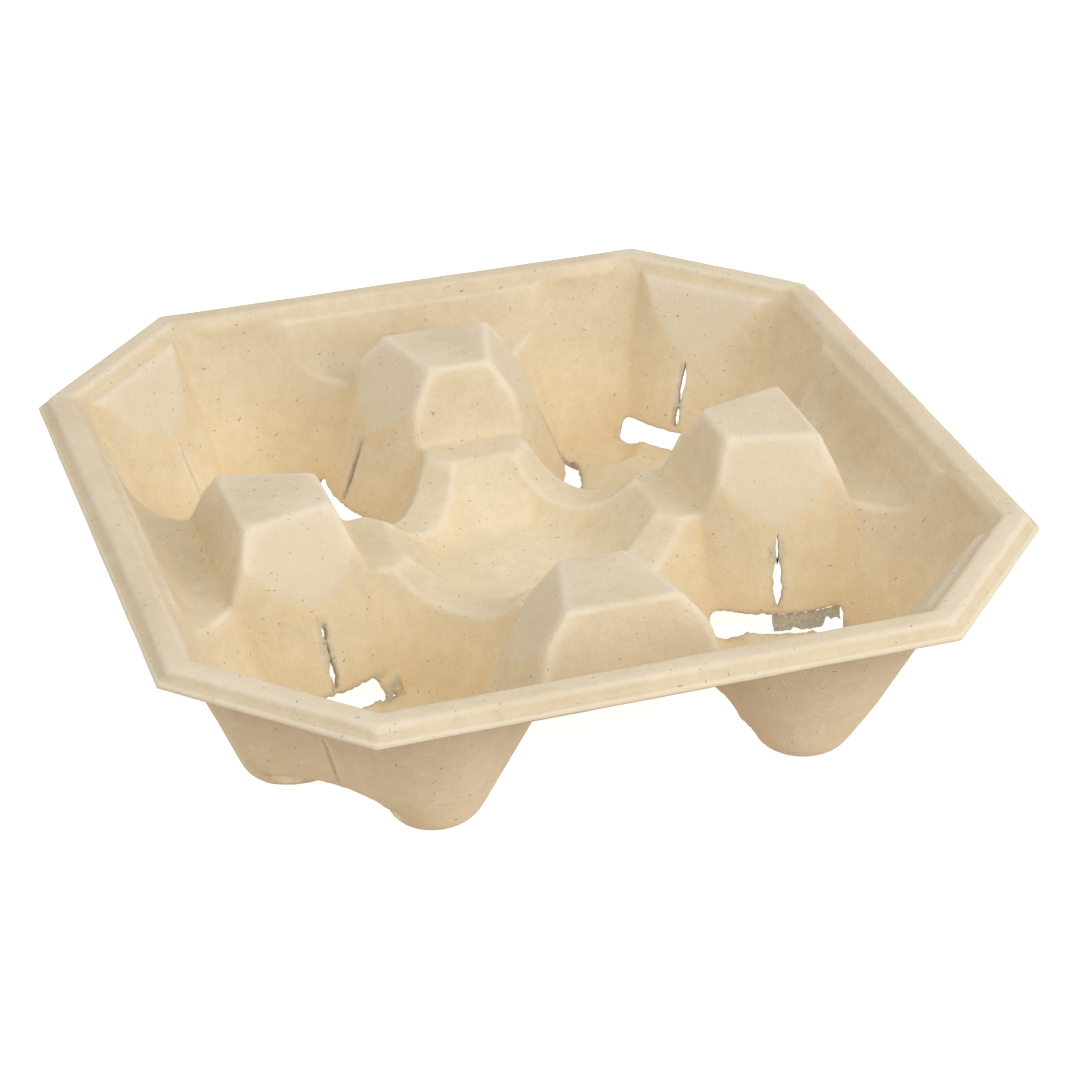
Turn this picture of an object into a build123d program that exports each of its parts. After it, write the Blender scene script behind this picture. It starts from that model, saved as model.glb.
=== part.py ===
"""Four-cup carrier tray, pressed from one sheet of paper pulp.

Frame: millimetres, +Z up. The origin is under the middle of the tray, on the
surface that it stands on. The four cup wells lie on the diagonals, and the
four posts between them lie on the X and Y axes.

The tray is one sheet of even thickness. It is built as the difference of two
solids: all that lies below the upper face of the sheet, and all that lies
below its lower face. Both come from one function, body_below. Its argument,
depth, is how far the face lies inside the pulp: 0 for the upper face, and the
wall thickness for the lower one.
"""

import os
from math import hypot, sqrt

from build123d import *

# Overall sizes
overall_width = 215.0  # across the lip, flat to flat
overall_height = 48.0  # from the feet to the top of the rim bead
corner_cut = 38.7  # how much each chamfered corner takes off a side, at the lip
wall = 1.8  # thickness of the pulp

# Rim: a thin lip, a hollow bead, and a narrow ledge inside it
lip_thickness = 1.4
lip_width = 1.7
lip_drop = 4.1  # from the top of the bead to the underside of the lip
bead_outer_run = 0.8  # how far the outer face of the bead leans in
bead_shoulder = 0.9  # rounded-off outer edge of the bead
bead_top_width = 4.9
bead_inner_run = 2.0  # how far the inner face of the bead leans in
ledge_drop = 2.8  # from the top of the bead to the ledge
ledge_width = 1.2

# Trough between each post and the side of the tray
trough_height = 31.8
side_wall_run = 6.0  # how far the side leans in between ledge and trough
trough_fillet = 8.0  # between the side and the floor of the trough

# Cup wells: a cone above a flat floor, and three lobes that widen it
cup_pitch = 103.0  # between the axes of neighbouring wells
floor_height = 6.0
floor_radius = 27.0
cone_lean = 0.4

# Each lobe reaches down past the floor and ends in a round foot
foot_distance = 22.5  # from the well's axis to the middle of a foot
foot_radius = 8.5
foot_fillet = 5.0
lobe_mouth_distance = 3.0  # from the well's axis to the lobe's, at the top of the rim
lobe_mouth_radius = 45.5

# Three pads around each cup: a leaning flat above, a rounded rib below
pads_per_well = 3
pad_top_distance = 41.8  # from the well's axis, at the top of the tray
pad_lean = 0.69  # run over fall
rib_foot_distance = 17.3  # from the well's axis, at the level of the feet
rib_lean = 0.395
rib_radius = 36.0

# Cuts that let a pad give way: a slit down the rib, and a slot at its foot
slit_width = 1.2
slit_bottom = 10.5
slit_top = 26.5
slot_top = 8.0
slot_inner_distance = 16.8  # from the well's axis to the edge of its floor
slot_length = 33.0

# Posts between the wells
post_inner_distance = 50.8  # from the middle of the tray, at the top
post_outer_distance = 74.0
post_inner_lean = 0.42
post_outer_lean = 0.36
shoulder_height = 30.0  # step between a post and the middle dish

# Middle dish, and the saddles between it and the wells
dish_floor_height = 16.0
dish_floor_to_well = 21.5  # half width of its floor, before its fillet
dish_floor_to_post = 18.0
dish_lean_to_well = 0.5
dish_lean_to_post = 1.1
dish_fillet = 8.0
saddle_height = 21.3  # lowest point of a saddle
saddle_radius = 20.0

# How far a cutting solid reaches past what it cuts
beyond = 6.0

# Places an upright solid by the middle of its foot
foot_centred = (Align.CENTER, Align.CENTER, Align.MIN)


def cup_axis_offset():
    """Distance of a well's axis from the middle, along X and along Y."""
    return cup_pitch / 2


def shift(lean, depth):
    """Sideways move of a leaning face, at one height, at a depth in the pulp."""
    return depth * sqrt(1 + lean * lean)


def lean_of(run, fall):
    """Run over fall of a sloping face."""
    return run / fall


def octagon(inset, height, corner_distance=None):
    """Face with the tray's outline, moved in from the lip.

    The corners are cut in line with the tray's own, or at a given distance
    from the middle.
    """
    half = overall_width / 2 - inset
    if corner_distance is None:
        corner_distance = overall_width / sqrt(2) - corner_cut / sqrt(2) - inset
    near = corner_distance * sqrt(2) - half
    corners = [
        (half, near), (near, half), (-near, half), (-half, near),
        (-half, -near), (-near, -half), (near, -half), (half, -near),
    ]
    return Plane.XY.offset(height) * Polygon(*corners, align=None)


def octagon_block(low_inset, low, high_inset, high, corner_distance=None):
    """Solid between two such outlines."""
    outlines = [
        octagon(low_inset, low, corner_distance),
        octagon(high_inset, high, corner_distance),
    ]
    return loft(outlines, ruled=True)


def square_block(low_half, low, high_half, high):
    """Four-sided solid about the middle, given by its half widths."""
    outlines = [
        Plane.XY.offset(height) * Rectangle(2 * half, 2 * half)
        for half, height in ((low_half, low), (high_half, high))
    ]
    return loft(outlines, ruled=True)


def bead_outer_inset():
    """Inset at which the flat top of the bead starts."""
    return lip_width + bead_outer_run + bead_shoulder


def bead_inner_inset():
    """Inset at which the flat top of the bead ends."""
    return bead_outer_inset() + bead_top_width


def ledge_inset():
    """Inset of the outer edge of the ledge."""
    return bead_inner_inset() + bead_inner_run


def rim_block(depth):
    """Full block under the lip and the bead."""
    top = overall_height - depth
    shoulder = top - bead_shoulder
    lip_underside = overall_height - lip_drop
    lip_top = lip_underside + lip_thickness
    lean = lean_of(bead_outer_run, overall_height - bead_shoulder - lip_top)
    if depth == 0:
        block = octagon_block(0, 0, 0, lip_top)
        bead_foot, foot_inset = lip_top, lip_width
    else:
        block = octagon_block(-beyond, -beyond, -beyond, lip_underside)
        bead_foot = lip_underside
        foot_inset = lip_width - lean * lip_thickness + shift(lean, depth)
    head_inset = foot_inset + lean * (shoulder - bead_foot)
    block += octagon_block(foot_inset, bead_foot, head_inset, shoulder)
    block += octagon_block(head_inset, shoulder, head_inset + bead_shoulder, top)
    return block


def tub(depth):
    """Open space inside the rim, down to the troughs."""
    ledge = overall_height - ledge_drop
    bead_lean = lean_of(bead_inner_run, ledge_drop)
    side_lean = lean_of(side_wall_run, ledge - trough_height)
    mouth = octagon_block(
        ledge_inset() - shift(bead_lean, depth) + bead_lean * depth,
        ledge - depth,
        bead_inner_inset() - shift(bead_lean, depth),
        overall_height,
    )
    side_inset = ledge_inset() + ledge_width - shift(side_lean, depth) + side_lean * depth
    # The wells open up the corners, so the tub itself stops short of them.
    corner = cup_axis_offset() * sqrt(2) + rib_distance(trough_height) - 2 * wall
    sides = octagon_block(
        side_inset + side_wall_run, trough_height - depth, side_inset, ledge, corner
    )
    floor_edges = sides.faces().sort_by(Axis.Z)[0].edges()
    sides = fillet(floor_edges, trough_fillet + depth)
    return mouth + sides


def rib_distance(height):
    """Distance of a rib's crest from its well's axis."""
    return rib_foot_distance + rib_lean * height


def pad_distance(height):
    """Distance of a pad's flat from its well's axis."""
    return pad_top_distance - pad_lean * (overall_height - height)


def pad_angles():
    """Directions of the pads of the well at +X, +Y. The first is its corner."""
    return [45 + 360 / pads_per_well * index for index in range(pads_per_well)]


def pad(depth):
    """Solid behind one pad, in its well's frame, with the pad towards +X."""
    low, high = -beyond, overall_height + beyond
    rise = high - low
    section = Plane.XY.offset(low) * Pos(rib_distance(low) + rib_radius, 0) * Circle(
        rib_radius - shift(rib_lean, depth)
    )
    rib = extrude(section, amount=hypot(rib_lean * rise, rise), dir=(rib_lean * rise, 0, rise))
    flats = [pad_distance(height) + shift(pad_lean, depth) for height in (low, high)]
    near = min(flats) - rib_radius
    corners = [(near, low), (flats[0], low), (flats[1], high), (near, high)]
    cut = Plane.XZ * Polygon(*corners, align=None)
    return rib - extrude(cut, amount=rib_radius, both=True)


def well_lobe(depth):
    """Open space of one lobe, in its well's frame, with the lobe towards +X."""
    low, high = wall - depth, overall_height + beyond
    rise = overall_height - wall
    spread = lobe_mouth_radius - foot_radius
    drift = foot_distance - lobe_mouth_distance
    lean = lean_of(spread - drift, rise)
    grown = foot_radius + shift(lean, depth)
    outlines = []
    for height in (low, high):
        part_way = (height - wall) / rise
        centre = Pos(foot_distance - drift * part_way, 0)
        outlines.append(Plane.XY.offset(height) * centre * Circle(grown + spread * part_way))
    lobe = loft(outlines, ruled=True)
    return fillet(lobe.edges().sort_by(Axis.Z)[0], foot_fillet + depth)


def well_space(depth):
    """Open space of one well, in its own frame, between its three pads."""
    low, high = floor_height - depth, overall_height + beyond
    radius = floor_radius + shift(cone_lean, depth) - cone_lean * depth
    space = Pos(0, 0, low) * Cone(
        radius, radius + cone_lean * (high - low), high - low, align=foot_centred
    )
    for angle in pad_angles():
        space += Rot(0, 0, angle + 180 / pads_per_well) * well_lobe(depth)
    for angle in pad_angles():
        space -= Rot(0, 0, angle) * pad(depth)
    return space


def at_wells(shape):
    """Four copies of a shape that is made in a well's frame."""
    offset = cup_axis_offset()
    placed = Pos(offset, offset, 0) * shape
    return [Rot(0, 0, 90 * index) * placed for index in range(4)]


def post_bar(depth):
    """Bar along X that holds the posts at both ends, before the wells are cut."""
    low, high = trough_height - beyond, overall_height - depth
    outlines = []
    for height in (low, high):
        fall = overall_height - height
        half = post_outer_distance + post_outer_lean * fall - shift(post_outer_lean, depth)
        outlines.append(Plane.XY.offset(height) * Rectangle(2 * half, cup_pitch))
    return loft(outlines, ruled=True)


def middle_space(depth):
    """Open space between the four posts, down to their shoulders."""
    low, high = shoulder_height - depth, overall_height + beyond
    halves = [
        post_inner_distance
        - post_inner_lean * (overall_height - height)
        + shift(post_inner_lean, depth)
        for height in (low, high)
    ]
    return square_block(halves[0], low, halves[1], high)


def dish_space(depth):
    """Open space of the eight-sided middle dish."""
    low, high = dish_floor_height - depth, shoulder_height + beyond
    outlines = []
    for height in (low, high):
        rise = height - dish_floor_height
        to_post = dish_floor_to_post + dish_lean_to_post * rise
        to_well = dish_floor_to_well + dish_lean_to_well * rise
        outlines.append(
            octagon(
                overall_width / 2 - to_post - shift(dish_lean_to_post, depth),
                height,
                to_well + shift(dish_lean_to_well, depth),
            )
        )
    space = loft(outlines, ruled=True)
    return fillet(space.faces().sort_by(Axis.Z)[0].edges(), dish_fillet + depth)


def saddle_space(depth):
    """Round notch along the diagonal, between the dish and one well."""
    notch = Cylinder(saddle_radius + depth, cup_pitch / sqrt(2), align=foot_centred)
    centre = Pos(0, 0, saddle_height + saddle_radius)
    return centre * Rot(0, 0, 45) * Rot(0, 90, 0) * notch


def body_below(depth):
    """All that lies below the face of the sheet at a depth in the pulp."""
    body = rim_block(depth) - tub(depth)
    body += post_bar(depth)
    body += Rot(0, 0, 90) * post_bar(depth)
    body -= middle_space(depth)
    body -= dish_space(depth)
    for index in range(4):
        body -= Rot(0, 0, 90 * index) * saddle_space(depth)
    # The wells stop at the rim, and the bead runs round them unbroken.
    limit = ledge_inset() - depth
    inside = octagon_block(limit, -2 * beyond, limit, overall_height + 2 * beyond)
    for space in at_wells(well_space(depth)):
        body -= space & inside
    return body


def slit():
    """Slit down the middle of a rib, square through the leaning pulp."""
    corners = []
    for height in (slit_bottom, slit_top):
        corners.append((rib_distance(height) - wall, height))
    for height in (slit_top, slit_bottom):
        corners.append((rib_distance(height) + 2 * wall, height))
    outline = Plane.XZ * Polygon(*corners, align=None)
    return extrude(outline, amount=slit_width / 2, both=True)


def slot():
    """Curved slot between the foot of a rib and the floor of its well."""
    low = floor_height - 2 * wall
    height = slot_top - low
    centre = slot_inner_distance + rib_radius
    reach = rib_distance(slot_top) + 2 * wall - slot_inner_distance
    ring = Cylinder(rib_radius, height, align=foot_centred)
    ring -= Cylinder(rib_radius - reach, height, align=foot_centred)
    window = Pos(-centre / 2, 0, 0) * Box(centre, slot_length, height, align=foot_centred)
    return Pos(centre, 0, low) * (ring & window)


def carrier():
    """The whole tray."""
    tray = body_below(0) - body_below(wall)
    for angle in pad_angles():
        for cut in (slit(), slot()):
            for placed in at_wells(Rot(0, 0, angle) * cut):
                tray -= placed
    return tray


os.makedirs("parts", exist_ok=True)
export_step(carrier(), "parts/carrier.step")
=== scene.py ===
"""Cup carrier of moulded paper pulp: its pressed shape, its slits and torn slots, and its finish.

Everything is in metres, in the part's own frame: +Z up, with the feet on Z = 0 and the
four wells on the diagonals.
"""

import logging
import math
import random
from dataclasses import dataclass
from enum import Enum

import bpy
import numpy as np
from mathutils import Matrix, Vector


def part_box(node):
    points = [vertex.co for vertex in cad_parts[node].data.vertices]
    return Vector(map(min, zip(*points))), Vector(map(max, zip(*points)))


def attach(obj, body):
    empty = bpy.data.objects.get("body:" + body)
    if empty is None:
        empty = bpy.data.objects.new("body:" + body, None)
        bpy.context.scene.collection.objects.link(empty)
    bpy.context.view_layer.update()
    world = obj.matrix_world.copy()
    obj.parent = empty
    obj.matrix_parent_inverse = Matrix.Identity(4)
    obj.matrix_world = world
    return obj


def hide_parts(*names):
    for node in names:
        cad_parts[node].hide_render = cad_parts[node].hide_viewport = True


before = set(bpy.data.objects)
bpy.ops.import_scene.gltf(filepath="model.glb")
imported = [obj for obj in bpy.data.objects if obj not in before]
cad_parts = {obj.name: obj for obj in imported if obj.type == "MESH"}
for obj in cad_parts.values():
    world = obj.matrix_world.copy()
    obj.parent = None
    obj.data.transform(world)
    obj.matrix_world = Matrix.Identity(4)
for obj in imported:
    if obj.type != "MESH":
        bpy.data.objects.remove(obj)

LOG = logging.getLogger("cup_carrier")
MM = 0.001


def select_only(*pieces: bpy.types.Object) -> None:
    """Selects these objects and nothing else, and makes the first one active.

    Args:
        pieces: The objects to select.
    """
    bpy.ops.object.select_all(action="DESELECT")
    for piece in pieces:
        piece.select_set(True)
    bpy.context.view_layer.objects.active = pieces[0]


def apply_modifier(piece: bpy.types.Object, kind: str, **settings: object) -> None:
    """Adds one modifier to a piece, sets it and applies it.

    Args:
        piece: The object to change.
        kind: Blender's name for the type of modifier.
        settings: The modifier's settings by name.
    """
    select_only(piece)
    bpy.ops.object.modifier_add(type=kind)
    modifier = piece.modifiers[-1]
    for name, value in settings.items():
        setattr(modifier, name, value)
    bpy.ops.object.modifier_apply(modifier=modifier.name)


def triangles(piece: bpy.types.Object) -> int:
    """Number of triangles that a piece's faces make."""
    return sum(len(face.vertices) - 2 for face in piece.data.polygons)


# ---------------------------------------------------------------- shader maths


class Node:
    """One output socket of a node tree, with arithmetic on it."""

    def __init__(self, tree: bpy.types.NodeTree, output: bpy.types.NodeSocket) -> None:
        """Wraps a socket.

        Args:
            tree: The tree that the socket is in.
            output: The socket itself.
        """
        self.tree = tree
        self.output = output

    def make(
        self, kind: str, settings: dict | None = None, out: int | str = 0, **inputs: object
    ) -> "Node":
        """Adds any node to the same tree.

        Args:
            kind: The node's type.
            settings: Its own settings, which are set before its sockets.
            out: Which output to return, by number or name.
            inputs: Values or links of its sockets. A socket's name has its blanks
                written as _, and a socket known by number is written as in0, in1.

        Returns:
            The chosen output of the new node.
        """
        node = self.tree.nodes.new(kind)
        for name, value in (settings or {}).items():
            setattr(node, name, value)
        for name, value in inputs.items():
            if name.startswith("in") and name[2:].isdigit():
                socket = node.inputs[int(name[2:])]
            else:
                socket = node.inputs[name.replace("_", " ")]
            self.feed(socket, value)
        return Node(self.tree, node.outputs[out])

    def feed(self, socket: bpy.types.NodeSocket, value: object) -> None:
        """Links or sets one input socket.

        Args:
            socket: The input.
            value: Another Node, or a plain value.
        """
        if isinstance(value, Node):
            self.tree.links.new(value.output, socket)
        else:
            socket.default_value = value

    def maths(self, operation: str, first: object, second: object) -> "Node":
        """One Math node on two numbers or links."""
        return self.make("ShaderNodeMath", {"operation": operation}, in0=first, in1=second)

    def __add__(self, other: object) -> "Node":
        """Sum."""
        return self.maths("ADD", self, other)

    __radd__ = __add__

    def __sub__(self, other: object) -> "Node":
        """Difference."""
        return self.maths("SUBTRACT", self, other)

    def __rsub__(self, other: object) -> "Node":
        """Difference, the other way round."""
        return self.maths("SUBTRACT", other, self)

    def __mul__(self, other: object) -> "Node":
        """Product."""
        return self.maths("MULTIPLY", self, other)

    __rmul__ = __mul__

    def between(self, low: float, high: float) -> "Node":
        """0 below low, 1 above high, and a smooth step between them."""
        return self.make(
            "ShaderNodeMapRange",
            {"interpolation_type": "SMOOTHSTEP"},
            Value=self, From_Min=low, From_Max=high,
        )

    def noise(self, scale: float, detail: float = 2.0, rough: float = 0.5) -> "Node":
        """Noise from 0 to 1 at this vector.

        Args:
            scale: Lumps per metre.
            detail: Number of finer layers.
            rough: Share of the finer layers.

        Returns:
            The noise's value.
        """
        return self.make(
            "ShaderNodeTexNoise", None, Vector=self, Scale=scale, Detail=detail, Roughness=rough
        )

    def attribute(self, name: str) -> "Node":
        """The value that a piece's vertices hold under a name."""
        return self.make("ShaderNodeAttribute", {"attribute_name": name}, "Fac")

    def stretched(self, factors: tuple[float, float, float]) -> "Node":
        """This vector, each of its three parts multiplied by a factor."""
        return self.make("ShaderNodeVectorMath", {"operation": "MULTIPLY"}, in0=self, in1=factors)

    def mixed(self, first: object, second: object, blend: str = "MIX") -> "Node":
        """A colour made from two colours, by this number from 0 to 1.

        Args:
            first: The colour at 0.
            second: The colour that is mixed in.
            blend: How it is mixed in.

        Returns:
            The mixed colour.
        """
        return self.make(
            "ShaderNodeMix",
            {"data_type": "RGBA", "blend_type": blend},
            2, in0=self, in6=first, in7=second,
        )


def colour(red: float, green: float, blue: float) -> tuple[float, float, float, float]:
    """An opaque linear colour."""
    return (red, green, blue, 1.0)


@dataclass(frozen=True)
class PulpFinish:
    """Dry moulded paper pulp: matt, mottled, with a faint print of the mould's wire mesh."""

    pale: tuple[float, ...] = colour(0.800, 0.680, 0.488)
    deep: tuple[float, ...] = colour(0.695, 0.570, 0.380)
    # Painted light: the pad flats are paler, as a face that tilts up to the lamps.
    flat: tuple[float, ...] = colour(0.780, 0.690, 0.530)
    # Painted highlight on convex folds, partly pulp worn pale there.
    wear_and_highlight: tuple[float, ...] = colour(0.900, 0.800, 0.630)
    # Multiplies the colour low down, because the lamps leave the wells too dim.
    low_tint: tuple[float, ...] = colour(1.23, 1.25, 1.25)
    # Painted shade: ochre in concave folds, on the rib round each pad's foot and on the wall round
    # each slot.
    ochre_shade: tuple[float, ...] = colour(0.870, 0.660, 0.370)
    fleck: tuple[float, ...] = colour(0.270, 0.190, 0.110)
    fibre: tuple[float, ...] = colour(0.520, 0.480, 0.400)
    mottle_scale: float = 55.0
    clump_scale: float = 260.0
    grain_scale: float = 900.0
    fleck_scale: float = 420.0
    mesh_pitch: float = 0.80 * MM
    relief: float = 0.22 * MM
    tint_full_below: float = 6 * MM
    tint_none_above: float = 44 * MM

    def build(self) -> bpy.types.Material:
        """Makes the material.

        Returns:
            The new material.
        """
        material = bpy.data.materials.new("moulded_pulp")
        material.use_nodes = True
        tree = material.node_tree
        shader = tree.nodes["Principled BSDF"]
        shader.inputs["Specular IOR Level"].default_value = 0.25
        place = Node(tree, tree.nodes.new("ShaderNodeTexCoord").outputs["Object"])
        mottle = place.noise(self.mottle_scale, 4.0, 0.6)
        grain = place.noise(self.grain_scale, 3.0, 0.6)
        clumps = place.noise(self.clump_scale, 3.0, 0.65)
        tone = (
            mottle.between(0.30, 0.72) * 0.4
            + clumps.between(0.30, 0.72) * 0.4
            + grain.between(0.30, 0.75) * 0.2
        )
        body = tone.mixed(self.deep, self.pale)
        split = tree.nodes.new("ShaderNodeSeparateXYZ")
        place.feed(split.inputs[0], place)
        height = Node(tree, split.outputs["Z"])
        depth = 1 - height.between(self.tint_full_below, self.tint_none_above)
        body = depth.mixed(body, self.low_tint, "MULTIPLY")
        ochre_shade = place.attribute("ochre_shade")
        crest = place.attribute("crest")
        flat = place.attribute("flat")
        # Painted light: the pad flats are made paler.
        body = (flat * 0.55).mixed(body, self.flat)
        # Painted highlight on convex folds, partly wear.
        body = (crest.between(0.08, 0.95) * 0.6).mixed(body, self.wear_and_highlight)
        # Painted shade: ochre in concave folds, on top of the painted shade that the tray marks.
        valley = (0 - crest).between(0.08, 0.9) * 0.7
        ochre_shade = ochre_shade.maths("MAXIMUM", ochre_shade, valley)
        # Noise that varies the strength of the painted ochre shade.
        shade_amount = place.noise(self.mottle_scale * 3, 3.0).between(0.25, 0.75) * 0.5 + 0.5
        body = (ochre_shade * shade_amount).mixed(body, self.ochre_shade)
        # Flecks are short dark fibres: the highest tips of a stretched noise.
        across = place.stretched((1.0, 2.6, 1.6)).noise(self.fleck_scale, 1.0).between(0.745, 0.775)
        along = place.stretched((2.6, 1.0, 1.6)).noise(self.fleck_scale, 1.0).between(0.752, 0.782)
        body = (across.maths("MAXIMUM", across, along) * 0.55).mixed(body, self.fleck)
        torn = place.attribute("torn")
        shreds = place.noise(self.grain_scale, 5.0, 0.8).between(0.35, 0.6)
        body = (torn * (shreds * 0.6 + 0.4)).mixed(body, self.fibre)
        place.feed(shader.inputs["Base Color"], body)
        place.feed(shader.inputs["Roughness"], grain * 0.12 + 0.84)
        place.feed(shader.inputs["Normal"], self.bump(place, mottle, grain, torn))
        return material

    def bump(self, place: Node, mottle: Node, grain: Node, torn: Node) -> Node:
        """Relief of the surface: lumps, grain, and the print of the wire mesh.

        Args:
            place: Object coordinates.
            mottle: The coarse noise.
            grain: The fine noise.
            torn: 1 where the pulp is torn.

        Returns:
            The bent normal.
        """
        turns = 2 * math.pi / self.mesh_pitch
        parts = place.stretched((turns, turns, turns))
        split = parts.tree.nodes.new("ShaderNodeSeparateXYZ")
        parts.feed(split.inputs[0], parts)
        weave = place.maths("SINE", Node(place.tree, split.outputs[0]), 0.0)
        for socket in split.outputs[1:]:
            weave = weave + place.maths("SINE", Node(place.tree, socket), 0.0)
        lumps = place.noise(260.0, 3.0, 0.55)
        height = lumps * 1.3 + grain * 0.8 + mottle * 0.8 + weave * 0.045 + torn * grain * 4.0
        return place.make(
            "ShaderNodeBump", None, "Normal", Strength=0.85, Distance=self.relief, Height=height
        )


# ---------------------------------------------------------------- the tray


@dataclass(frozen=True)
class TraySizes:
    """Sizes of the tray that its cuts depend on, as the solid part has them."""

    cup_axis: float = 51.5 * MM
    wall: float = 1.8 * MM
    rib_foot: float = 17.3 * MM
    rib_lean: float = 0.395
    rib_radius: float = 36.0 * MM
    floor_height: float = 6.0 * MM
    slot_inner: float = 16.8 * MM
    slot_top: float = 8.0 * MM
    slot_half: float = 16.5 * MM
    slit_low: float = 10.5 * MM
    slit_high: float = 26.5 * MM
    pad_top: float = 41.8 * MM
    pad_lean: float = 0.69
    height: float = 48.0 * MM
    half_width: float = 107.5 * MM
    corner_start: float = 68.8 * MM

    def rib(self, height: float) -> float:
        """Distance of a rib's crest from its well's axis at a height."""
        return self.rib_foot + self.rib_lean * height

    def pad(self, height: float) -> float:
        """Distance of a pad's flat from its well's axis at a height."""
        return self.pad_top - self.pad_lean * (self.height - height)

    def bow(self, across: float) -> float:
        """How far a rib's face falls back from its crest at a sideways distance."""
        return self.rib_radius - math.sqrt(self.rib_radius**2 - across**2)


class Well(Enum):
    """The four wells, by the signs of their axes' X and Y."""

    RIGHT_BACK = (1, 1)
    LEFT_BACK = (-1, 1)
    LEFT_FRONT = (-1, -1)
    RIGHT_FRONT = (1, -1)


class Faces(Enum):
    """What a pad stands against, by its turn from the corner in steps of 120 degrees."""

    CORNER = 0
    NEXT_POST = 1
    LAST_POST = 2


@dataclass(frozen=True)
class Hole:
    """One opening along a slit, from a low to a high height, with its greatest width."""

    low: float
    high: float
    width: float


@dataclass(frozen=True)
class PadCuts:
    """The slit and the slot of one pad, as they were cut and torn."""

    well: Well
    faces: Faces
    holes: tuple[Hole, ...]
    web: tuple[float, float] | None = None  # stretch of the slot that stayed shut
    flap: tuple[float, float] | None = None  # stretch that torn fibres hang across
    fray: float = 0.35
    aside: float = 0.0  # how far the slit runs beside the crest
    # Paints a highlight along the slit's rims.
    painted_lit_edge: bool = False

    def frame(self, sizes: TraySizes) -> Matrix:
        """Place of the pad: X away from the well's axis, Y sideways, Z up."""
        angle = math.atan2(self.well.value[1], self.well.value[0])
        angle += self.faces.value * math.tau / 3
        centre = (sizes.cup_axis * self.well.value[0], sizes.cup_axis * self.well.value[1], 0.0)
        return Matrix.Translation(centre) @ Matrix.Rotation(angle, 4, "Z")


HAIRLINE = (Hole(11.0 * MM, 26.0 * MM, 0.35 * MM),)

PAD_CUTS = (
    PadCuts(Well.RIGHT_FRONT, Faces.CORNER, HAIRLINE),
    PadCuts(
        Well.RIGHT_FRONT, Faces.NEXT_POST,
        (Hole(10.2 * MM, 21.5 * MM, 2.3 * MM), Hole(20.0 * MM, 27.0 * MM, 0.7 * MM)),
        flap=(-16.0 * MM, 1.5 * MM), fray=0.6,
    ),
    PadCuts(Well.RIGHT_FRONT, Faces.LAST_POST, HAIRLINE),
    PadCuts(
        Well.LEFT_FRONT, Faces.CORNER, (Hole(10.0 * MM, 26.0 * MM, 0.8 * MM),),
        fray=0.45, aside=1.1 * MM, painted_lit_edge=True,
    ),
    PadCuts(Well.LEFT_FRONT, Faces.NEXT_POST, HAIRLINE),
    PadCuts(
        Well.LEFT_FRONT, Faces.LAST_POST,
        (
            Hole(9.8 * MM, 16.5 * MM, 2.0 * MM),
            Hole(16.2 * MM, 21.0 * MM, 0.5 * MM),
            Hole(21.0 * MM, 24.5 * MM, 1.5 * MM),
        ),
        web=(-17.5 * MM, -12.0 * MM), fray=0.9,
    ),
    PadCuts(
        Well.RIGHT_BACK, Faces.CORNER,
        (Hole(10.0 * MM, 15.2 * MM, 1.5 * MM), Hole(16.0 * MM, 26.6 * MM, 1.6 * MM)),
    ),
    PadCuts(
        Well.RIGHT_BACK, Faces.NEXT_POST,
        (Hole(9.8 * MM, 17.0 * MM, 2.0 * MM), Hole(18.0 * MM, 22.0 * MM, 1.8 * MM)), fray=0.6,
    ),
    PadCuts(Well.RIGHT_BACK, Faces.LAST_POST, HAIRLINE),
    PadCuts(Well.LEFT_BACK, Faces.CORNER, HAIRLINE),
    PadCuts(Well.LEFT_BACK, Faces.NEXT_POST, HAIRLINE),
    PadCuts(Well.LEFT_BACK, Faces.LAST_POST, (Hole(10.0 * MM, 25.5 * MM, 1.6 * MM),)),
)


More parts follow.
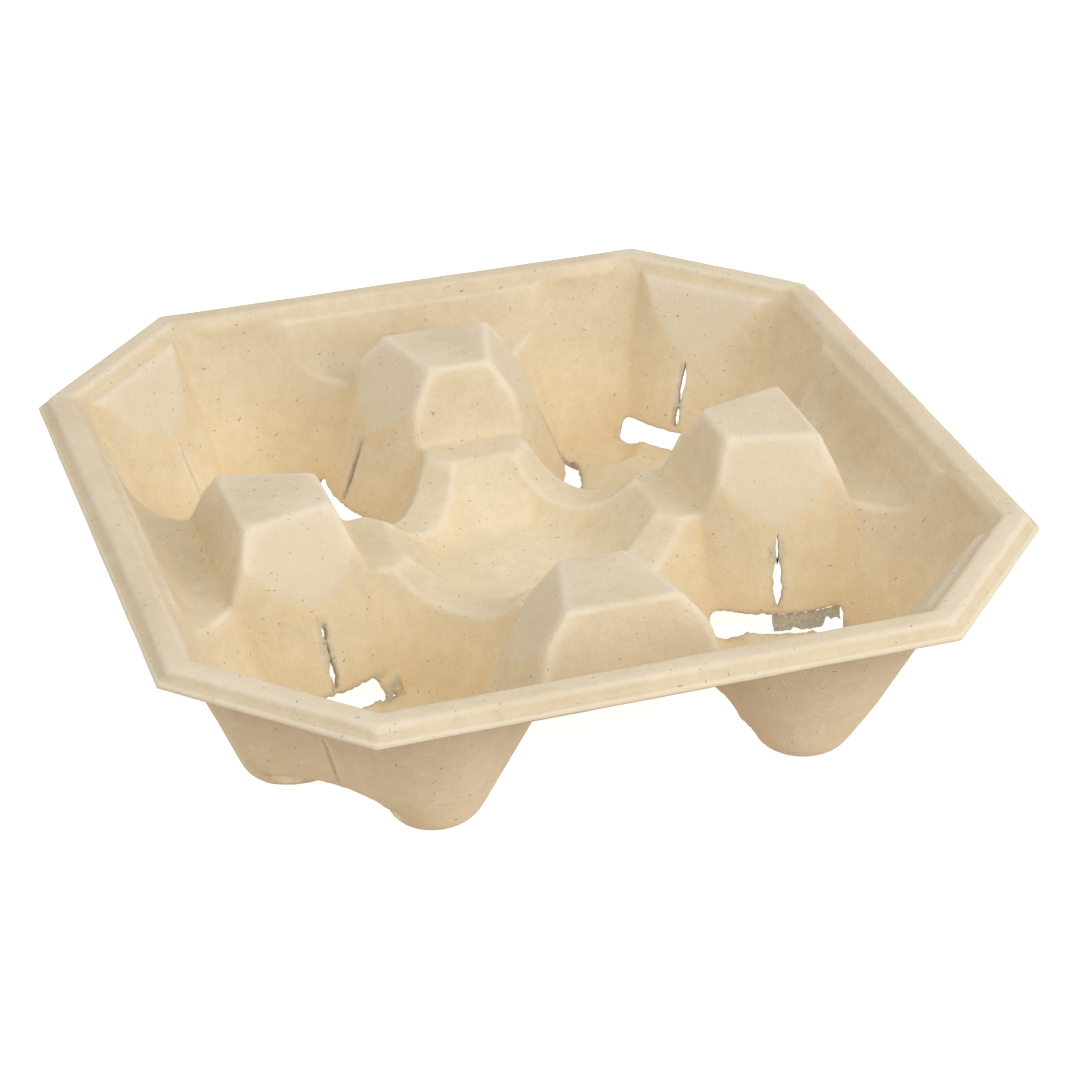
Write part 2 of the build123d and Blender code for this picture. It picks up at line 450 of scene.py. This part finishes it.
@dataclass
class Tray:
    """The tray's skin: the solid part softened as pressed pulp is, then cut and torn."""

    sizes: TraySizes
    voxel: float = 0.72 * MM
    smoothing: int = 9
    most_triangles: int = 190_000
    lip_zone: float = 11.5 * MM
    lip_softness: float = 0.12
    unevenness: float = 0.30 * MM
    sharp_fold: float = 360.0  # 1 / metre
    fold_spread: int = 7
    raised_foot: tuple[float, float] = (-73.2 * MM, -45.7 * MM)
    raised_by: float = 1.7 * MM
    raised_reach: float = 12 * MM
    raised_below: float = 6 * MM
    plug_width: float = 3.0 * MM
    web_thickness: float = 1.6 * MM
    web_length: float = 7.5 * MM
    web_slope: float = math.radians(38)
    fray_reach: float = 2.2 * MM
    fray_depth: float = 2.2 * MM
    knife_length: float = 9 * MM
    # How far the painted shade spreads from a slot.
    slot_shade_reach: float = 11 * MM
    pad_reach: float = 24 * MM

    def build(self, material: bpy.types.Material) -> bpy.types.Object:
        """Models the tray and dresses it.

        Args:
            material: The finish.

        Returns:
            The finished piece.
        """
        tray = self.copy_of_part()
        select_only(tray, *[piece for cuts in PAD_CUTS for piece in self.fillers(cuts)])
        bpy.ops.object.join()
        apply_modifier(tray, "REMESH", mode="VOXEL", voxel_size=self.voxel)
        self.soften(tray)
        self.roughen(tray)
        whole = triangles(tray)
        apply_modifier(tray, "DECIMATE", ratio=min(1.0, self.most_triangles / whole))
        self.cut(tray)
        self.mark_wear_and_light(tray)
        select_only(tray)
        bpy.ops.object.shade_smooth()
        tray.data.materials.clear()
        tray.data.materials.append(material)
        LOG.info("%s: %d triangles, from %d", tray.name, triangles(tray), whole)
        return tray

    def copy_of_part(self) -> bpy.types.Object:
        """A merged copy of the solid part's mesh, as a new object."""
        select_only(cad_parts["carrier"])
        bpy.ops.object.duplicate()
        tray = bpy.context.view_layer.objects.active
        for key in [key for key in tray.keys() if key.startswith("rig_")]:
            del tray[key]
        tray.parent = None
        tray.name = tray.data.name = "tray"
        bpy.ops.object.mode_set(mode="EDIT")
        bpy.ops.mesh.select_all(action="SELECT")
        bpy.ops.mesh.remove_doubles(threshold=0.002 * MM)
        bpy.ops.object.mode_set(mode="OBJECT")
        return tray

    def block(self, place: Matrix, size: tuple[float, float, float]) -> bpy.types.Object:
        """A plain box, put in place.

        Args:
            place: Its middle and its turn.
            size: Its three sides.

        Returns:
            The new box.
        """
        bpy.ops.object.select_all(action="DESELECT")
        bpy.ops.mesh.primitive_cube_add(size=1.0)
        box = bpy.context.view_layer.objects.active
        box.data.transform(place @ Matrix.Diagonal((*size, 1.0)))
        return box

    def on_rib(self, cuts: PadCuts, height: float) -> Matrix:
        """Place in the middle of a rib's wall at a height: X through the wall, Z up its slope."""
        sizes = self.sizes
        distance = sizes.rib(height) + sizes.wall / 2 * math.sqrt(1 + sizes.rib_lean**2)
        lean = Matrix.Rotation(math.atan(sizes.rib_lean), 4, "Y")
        return cuts.frame(sizes) @ Matrix.Translation((distance, 0.0, height)) @ lean

    def fillers(self, cuts: PadCuts) -> list[bpy.types.Object]:
        """Pulp that closes a pad's straight slit, and the part of its slot that never opened.

        Args:
            cuts: The pad.

        Returns:
            The closing pieces.
        """
        sizes = self.sizes
        middle = (sizes.slit_low + sizes.slit_high) / 2
        length = (sizes.slit_high - sizes.slit_low) * math.sqrt(1 + sizes.rib_lean**2) + 2 * MM
        plug = (sizes.wall * 0.97, self.plug_width, length)
        pieces = [self.block(self.on_rib(cuts, middle), plug)]
        if cuts.web:
            low, high = cuts.web
            across = (low + high) / 2
            distance = (sizes.slot_inner + sizes.rib(sizes.slot_top)) / 2
            distance += sizes.bow(across) + 0.6 * MM
            place = (
                cuts.frame(sizes)
                @ Matrix.Translation((distance, across, sizes.floor_height + 0.6 * MM))
                @ Matrix.Rotation(-self.web_slope, 4, "Y")
            )
            pieces.append(self.block(place, (self.web_length, high - low, self.web_thickness)))
        return pieces

    def soften(self, tray: bpy.types.Object) -> None:
        """Rounds every edge as wet pulp takes it, but keeps the thin lip crisp.

        Args:
            tray: The remeshed tray.
        """
        group = tray.vertex_groups.new(name="soft")
        lip, rest = [], []
        sizes = self.sizes
        near = sizes.half_width - self.lip_zone
        corner = (sizes.half_width + sizes.corner_start) / math.sqrt(2) - self.lip_zone
        for vertex in tray.data.vertices:
            x, y = abs(vertex.co.x), abs(vertex.co.y)
            outside = max(x - near, y - near, (x + y) / math.sqrt(2) - corner) > 0
            (lip if outside else rest).append(vertex.index)
        group.add(rest, 1.0, "REPLACE")
        group.add(lip, self.lip_softness, "REPLACE")
        apply_modifier(tray, "SMOOTH", factor=0.5, iterations=self.smoothing, vertex_group="soft")
        tray.vertex_groups.clear()

    def roughen(self, tray: bpy.types.Object) -> None:
        """Gives the pressed sheet its slight unevenness, and frays the edges of its slots.

        Args:
            tray: The softened tray.
        """
        waves = bpy.data.textures.new("sheet_waves", "CLOUDS")
        waves.noise_scale = 16 * MM
        apply_modifier(
            tray, "DISPLACE", texture=waves, texture_coords="GLOBAL",
            strength=self.unevenness, mid_level=0.5,
        )
        group = tray.vertex_groups.new(name="frayed")
        for cuts in PAD_CUTS:
            for vertex, share in self.near_slot(tray, cuts):
                group.add([vertex.index], share * cuts.fray, "REPLACE")
        shreds = bpy.data.textures.new("shreds", "CLOUDS")
        shreds.noise_scale = 1.5 * MM
        shreds.noise_depth = 3
        apply_modifier(
            tray, "DISPLACE", texture=shreds, texture_coords="GLOBAL",
            strength=self.fray_depth, mid_level=0.5, vertex_group="frayed",
        )
        tray.vertex_groups.clear()
        self.press_foot(tray)
        low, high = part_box("carrier")
        for vertex in tray.data.vertices:
            vertex.co = Vector(
                min(max(at, first), last) for at, first, last in zip(vertex.co, low, high)
            )

    def press_foot(self, tray: bpy.types.Object) -> None:
        """Presses one foot up a little.

        Args:
            tray: The tray.
        """
        for vertex in tray.data.vertices:
            away = math.hypot(
                vertex.co.x - self.raised_foot[0], vertex.co.y - self.raised_foot[1]
            )
            if away < self.raised_reach and vertex.co.z < self.raised_below:
                fade = min(1.0, (self.raised_reach - away) / (3 * MM))
                vertex.co.z += self.raised_by * (1 - vertex.co.z / self.raised_below) * fade

    def near_slot(
        self, tray: bpy.types.Object, cuts: PadCuts
    ) -> list[tuple[bpy.types.MeshVertex, float]]:
        """Vertices beside a pad's slot.

        Args:
            tray: The tray.
            cuts: The pad.

        Returns:
            Each such vertex, with a share that is 1 at the cut and 0 away from it.
        """
        sizes = self.sizes
        inward = cuts.frame(sizes).inverted()
        reach = 30 * MM
        found = []
        for vertex in tray.data.vertices:
            if vertex.co.z > sizes.slot_top + 4 * MM:
                continue
            local = inward @ vertex.co
            if not (0 < local.x < reach and abs(local.y) < sizes.slot_half + 1.5 * MM):
                continue
            fall = sizes.bow(min(abs(local.y), sizes.slot_half))
            inner = abs(local.x - sizes.slot_inner - fall)
            outer = math.hypot(
                local.x - sizes.rib(sizes.slot_top) - fall - 1 * MM, local.z - sizes.slot_top
            )
            share = 1 - min(inner, outer) / self.fray_reach
            if share > 0 and local.z > sizes.floor_height - 3 * MM:
                found.append((vertex, share))
        return found

    def cut(self, tray: bpy.types.Object) -> None:
        """Cuts the slits through the ribs.

        Args:
            tray: The tray, with its slits still closed.
        """
        knives = []
        for cuts in PAD_CUTS:
            for hole in cuts.holes:
                knives.append(self.knife(cuts, hole))
        select_only(*knives)
        bpy.ops.object.join()
        knife = bpy.context.view_layer.objects.active
        apply_modifier(tray, "BOOLEAN", operation="DIFFERENCE", solver="MANIFOLD", object=knife)
        bpy.data.objects.remove(knife)

    def knife(self, cuts: PadCuts, hole: Hole) -> bpy.types.Object:
        """A long flat lens that goes through the wall where a slit gapes.

        Args:
            cuts: The pad.
            hole: The opening.

        Returns:
            The cutting piece.
        """
        bpy.ops.object.select_all(action="DESELECT")
        bpy.ops.mesh.primitive_cylinder_add(vertices=28, radius=0.5, depth=1.0)
        knife = bpy.context.view_layer.objects.active
        ragged = random.Random(round(hole.low * 1e6) + 7 * cuts.faces.value)
        length = (hole.high - hole.low) * math.sqrt(1 + self.sizes.rib_lean**2)
        corners = list(knife.data.vertices)
        for pair in zip(corners[0::2], corners[1::2]):
            bulge = hole.width * ragged.uniform(0.72, 1.25)
            for vertex in pair:
                # The lens lies on its side: its axis runs through the wall.
                sideways, up, through = vertex.co.x, vertex.co.y, vertex.co.z
                taper = 0.55 + 0.45 * (1 - (2 * up) ** 2)
                vertex.co = Vector(
                    (through * self.knife_length, sideways * bulge * taper, up * length)
                )
        middle = self.on_rib(cuts, (hole.low + hole.high) / 2)
        knife.data.transform(middle @ Matrix.Translation((0.0, cuts.aside, 0.0)))
        select_only(knife)
        bpy.ops.object.mode_set(mode="EDIT")
        bpy.ops.mesh.select_all(action="SELECT")
        bpy.ops.mesh.normals_make_consistent(inside=False)
        bpy.ops.object.mode_set(mode="OBJECT")
        return knife

    def crests(self, tray: bpy.types.Object) -> list[float]:
        """How sharply the sheet is folded at each vertex.

        Args:
            tray: The cut tray.

        Returns:
            Up to 1 on convex crests, down to -1 in valleys, 0 where the sheet is flat; the finish
            paints highlight on the crests and shade in the valleys from it.
        """
        mesh = tray.data
        places = np.empty(len(mesh.vertices) * 3)
        normals = np.empty(len(mesh.vertices) * 3)
        edges = np.empty(len(mesh.edges) * 2, dtype=np.int32)
        mesh.vertices.foreach_get("co", places)
        mesh.vertices.foreach_get("normal", normals)
        mesh.edges.foreach_get("vertices", edges)
        places, normals = places.reshape(-1, 3), normals.reshape(-1, 3)
        first, second = edges[0::2], edges[1::2]
        across = places[second] - places[first]
        square = np.maximum((across**2).sum(1), (0.2 * MM) ** 2)
        bend = -2 * (across * (normals[second] - normals[first])).sum(1) / square
        whole = len(places)
        count = np.bincount(edges, minlength=whole).clip(1)
        fold = (np.bincount(first, -bend, whole) + np.bincount(second, -bend, whole)) / count
        fold = fold.clip(-2 * self.sharp_fold, 2 * self.sharp_fold)
        for _ in range(self.fold_spread):
            near = np.bincount(first, fold[second], whole)
            near = near + np.bincount(second, fold[first], whole)
            fold = 0.5 * fold + 0.5 * near / count
        return (fold / self.sharp_fold).clip(-1, 1).tolist()

    def mark_wear_and_light(self, tray: bpy.types.Object) -> None:
        """Writes where the pulp is torn, and where the finish paints shade, highlights and paler
        pad flats.

        Args:
            tray: The cut tray.
        """
        sizes = self.sizes
        torn = [0.0] * len(tray.data.vertices)
        ochre_shade = [0.0] * len(tray.data.vertices)
        flat = [0.0] * len(tray.data.vertices)
        crest = self.crests(tray)
        for cuts in PAD_CUTS:
            inward = cuts.frame(sizes).inverted()
            widest = max(hole.width for hole in cuts.holes)
            for vertex, share in self.near_slot(tray, cuts):
                torn[vertex.index] = max(torn[vertex.index], share * cuts.fray)
            for vertex in tray.data.vertices:
                local = inward @ vertex.co
                if abs(local.x - sizes.pad(local.z)) < 1.2 * MM and abs(local.y) < self.pad_reach:
                    # The flat of the pad is painted paler, as light on a face that tilts up, and a
                    # ring of painted shade lies on the rib around its foot.
                    inside = sizes.pad(local.z) - sizes.rib(local.z) - sizes.bow(local.y)
                    flat[vertex.index] = min(1.0, max(0.0, inside / (0.5 * MM)))
                    ring = 1 - abs(inside + 0.7 * MM) / (0.9 * MM)
                    ochre_shade[vertex.index] = max(ochre_shade[vertex.index], 0.4 * ring)
                if vertex.co.z > 31 * MM:
                    continue
                if not 10 * MM < local.x < 36 * MM or abs(local.y) > self.pad_reach:
                    continue
                bow = sizes.bow(min(abs(local.y), sizes.slot_half))
                # Painted shade: ochre on the lower wall round each slot, fading away from it.
                from_slot = math.hypot(
                    local.x - sizes.slot_inner - bow - 2 * MM,
                    max(abs(local.y) - sizes.slot_half, 0.0),
                    local.z - 7 * MM,
                )
                shade_amount = 0.75 * max(0.0, 1 - from_slot / self.slot_shade_reach)
                ochre_shade[vertex.index] = max(ochre_shade[vertex.index], shade_amount)
                if sizes.slit_low < local.z < sizes.slit_high:
                    rim = 1 - (abs(local.y - cuts.aside) - widest / 2) / (0.5 * MM)
                    # Painted highlight: the rims of this slit take the crest colour.
                    if cuts.painted_lit_edge:
                        crest[vertex.index] = max(crest[vertex.index], min(1.0, max(0.0, rim)))
                    elif widest > 1 * MM:
                        torn[vertex.index] = max(torn[vertex.index], min(0.5, max(0.0, rim)))
        for name, values in (("torn", torn), ("ochre_shade", ochre_shade), ("crest", crest), ("flat", flat)):
            layer = tray.data.attributes.new(name, "FLOAT", "POINT")
            layer.data.foreach_set("value", values)


@dataclass
class TornFlap:
    """Shreds of pulp that still hang across part of a slot."""

    sizes: TraySizes
    cuts: PadCuts
    strips: int = 44
    rows: int = 8
    thickness: float = 0.35 * MM
    fall: float = 2.2 * MM
    sag: float = 0.9 * MM
    shortest: float = 0.35

    def build(self, material: bpy.types.Material) -> bpy.types.Object:
        """Models the shreds as one thin ragged sheet.

        Args:
            material: The finish.

        Returns:
            The finished piece.
        """
        bpy.ops.object.select_all(action="DESELECT")
        bpy.ops.mesh.primitive_grid_add(
            x_subdivisions=self.rows, y_subdivisions=self.strips, size=1.0
        )
        flap = bpy.context.view_layer.objects.active
        flap.name = flap.data.name = "torn_flap"
        chance = random.Random(11)
        low, high = self.cuts.flap
        sizes = self.sizes
        lengths: dict[int, float] = {}
        for vertex in sorted(flap.data.vertices, key=lambda corner: corner.co.y):
            row, column = vertex.co.x + 0.5, round((vertex.co.y + 0.5) * self.strips)
            if column not in lengths:
                before = lengths.get(column - 1, 0.8)
                lengths[column] = min(1.0, max(self.shortest, before + chance.uniform(-0.22, 0.22)))
            length = lengths[column]
            across = low + (high - low) * (vertex.co.y + 0.5) + chance.uniform(-0.2, 0.2) * MM
            along = row * length
            start = sizes.rib(sizes.slot_top) + sizes.bow(across) + 0.9 * MM
            end = sizes.slot_inner + sizes.bow(across) + 0.2 * MM
            height = sizes.slot_top + 0.3 * MM - along * self.fall
            height -= math.sin(along * math.pi) * self.sag
            vertex.co = Vector(
                (
                    start + (end - start) * along + chance.uniform(-0.15, 0.15) * MM,
                    across,
                    height + chance.uniform(-0.25, 0.25) * MM,
                )
            )
        flap.data.transform(self.cuts.frame(sizes))
        apply_modifier(flap, "SOLIDIFY", thickness=self.thickness, offset=0.0)
        apply_modifier(flap, "SUBSURF", levels=1, render_levels=1)
        shreds = bpy.data.textures.new("flap_shreds", "CLOUDS")
        shreds.noise_scale = 0.8 * MM
        apply_modifier(
            flap, "DISPLACE", texture=shreds, texture_coords="GLOBAL",
            strength=0.5 * MM, mid_level=0.5,
        )
        for name, value in (("torn", 1.0), ("ochre_shade", 0.0), ("crest", 0.0), ("flat", 0.0)):
            layer = flap.data.attributes.new(name, "FLOAT", "POINT")
            layer.data.foreach_set("value", [value] * len(flap.data.vertices))
        bpy.ops.object.shade_smooth()
        flap.data.materials.append(material)
        LOG.info("%s: %d triangles", flap.name, triangles(flap))
        return flap


# ---------------------------------------------------------------- the studio


@dataclass(frozen=True)
class Studio:
    """Pale floor, soft light and the camera."""

    lens: float = 102.18
    azimuth: float = -18.764
    elevation: float = 30.370
    distance: float = 719.68 * MM
    aim_right: float = -9.27 * MM
    aim_back: float = -41.09 * MM
    floor_size: float = 12.0
    above: tuple[float, ...] = colour(1.0, 1.0, 1.0)
    below: tuple[float, ...] = colour(0.61, 0.46, 0.34)
    room_strength: float = 0.68
    lamps: tuple[tuple[str, tuple[float, float, float], float, float], ...] = (
        ("key", (0.75, -0.95, 0.70), 1.1, 8.6),
        ("fill", (-0.95, -0.75, 0.60), 1.2, 2.5),
    )

    def floor(self) -> None:
        """Lays the floor under the feet."""
        bpy.ops.object.select_all(action="DESELECT")
        bpy.ops.mesh.primitive_plane_add(size=self.floor_size, location=(0.0, 0.0, -0.1 * MM))
        floor = bpy.context.view_layer.objects.active
        floor.name = "floor"
        material = bpy.data.materials.new("floor_white")
        material.use_nodes = True
        shader = material.node_tree.nodes["Principled BSDF"]
        shader.inputs["Base Color"].default_value = colour(0.80, 0.80, 0.80)
        shader.inputs["Roughness"].default_value = 0.9
        shader.inputs["Specular IOR Level"].default_value = 0.0
        shader.inputs["Emission Color"].default_value = colour(1.0, 1.0, 1.0)
        shader.inputs["Emission Strength"].default_value = 0.80
        # The pulp is lit from below by the room and not by the glow of the floor.
        floor.visible_diffuse = False
        floor.data.materials.append(material)

    def light(self) -> None:
        """Fills the room with soft light, warmer from below, and stands two lamps in front."""
        world = bpy.data.worlds.new("room")
        bpy.context.scene.world = world
        world.use_nodes = True
        tree = world.node_tree
        way = Node(tree, tree.nodes.new("ShaderNodeTexCoord").outputs["Generated"])
        split = tree.nodes.new("ShaderNodeSeparateXYZ")
        way.feed(split.inputs[0], way)
        above = Node(tree, split.outputs["Z"]).between(-0.35, 0.15)
        background = tree.nodes["Background"]
        way.feed(background.inputs["Color"], above.mixed(self.below, self.above))
        background.inputs["Strength"].default_value = self.room_strength
        for name, place, size, power in self.lamps:
            lamp = bpy.data.lights.new(name, "AREA")
            lamp.size = size
            lamp.energy = power
            holder = bpy.data.objects.new(name, lamp)
            bpy.context.scene.collection.objects.link(holder)
            holder.location = place
            holder.rotation_euler = (-Vector(place)).to_track_quat("-Z", "Y").to_euler()

    def camera(self) -> None:
        """Places the camera, which looks down on the tray from its front left."""
        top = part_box("carrier")[1].z
        across, up = math.radians(self.azimuth), math.radians(self.elevation)
        level = math.cos(up)
        back = Vector((math.sin(across) * level, -math.cos(across) * level, math.sin(up)))
        camera = bpy.data.cameras.new("camera")
        camera.lens = self.lens
        camera.sensor_width = 36.0
        camera.clip_start = 0.01
        holder = bpy.data.objects.new("camera", camera)
        bpy.context.scene.collection.objects.link(holder)
        holder.location = Vector((self.aim_right, self.aim_back, top)) + back * self.distance
        holder.rotation_mode = "QUATERNION"
        holder.rotation_quaternion = (-back).to_track_quat("-Z", "Y")
        bpy.context.scene.camera = holder

    def build(self) -> None:
        """Makes the whole studio."""
        self.floor()
        self.light()
        self.camera()
        bpy.context.scene.view_settings.view_transform = "Standard"


def main() -> None:
    """Builds the tray and its studio, and reports each piece."""
    logging.basicConfig(level=logging.INFO, format="%(name)s: %(message)s")
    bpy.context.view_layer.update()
    sizes = TraySizes()
    pulp = PulpFinish().build()
    tray = Tray(sizes).build(pulp)
    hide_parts("carrier")
    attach(tray, "root")
    for cuts in PAD_CUTS:
        if cuts.flap:
            flap = TornFlap(sizes, cuts).build(pulp)
            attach(flap, "root")
    Studio().build()


if __name__ == "__main__":
    main()
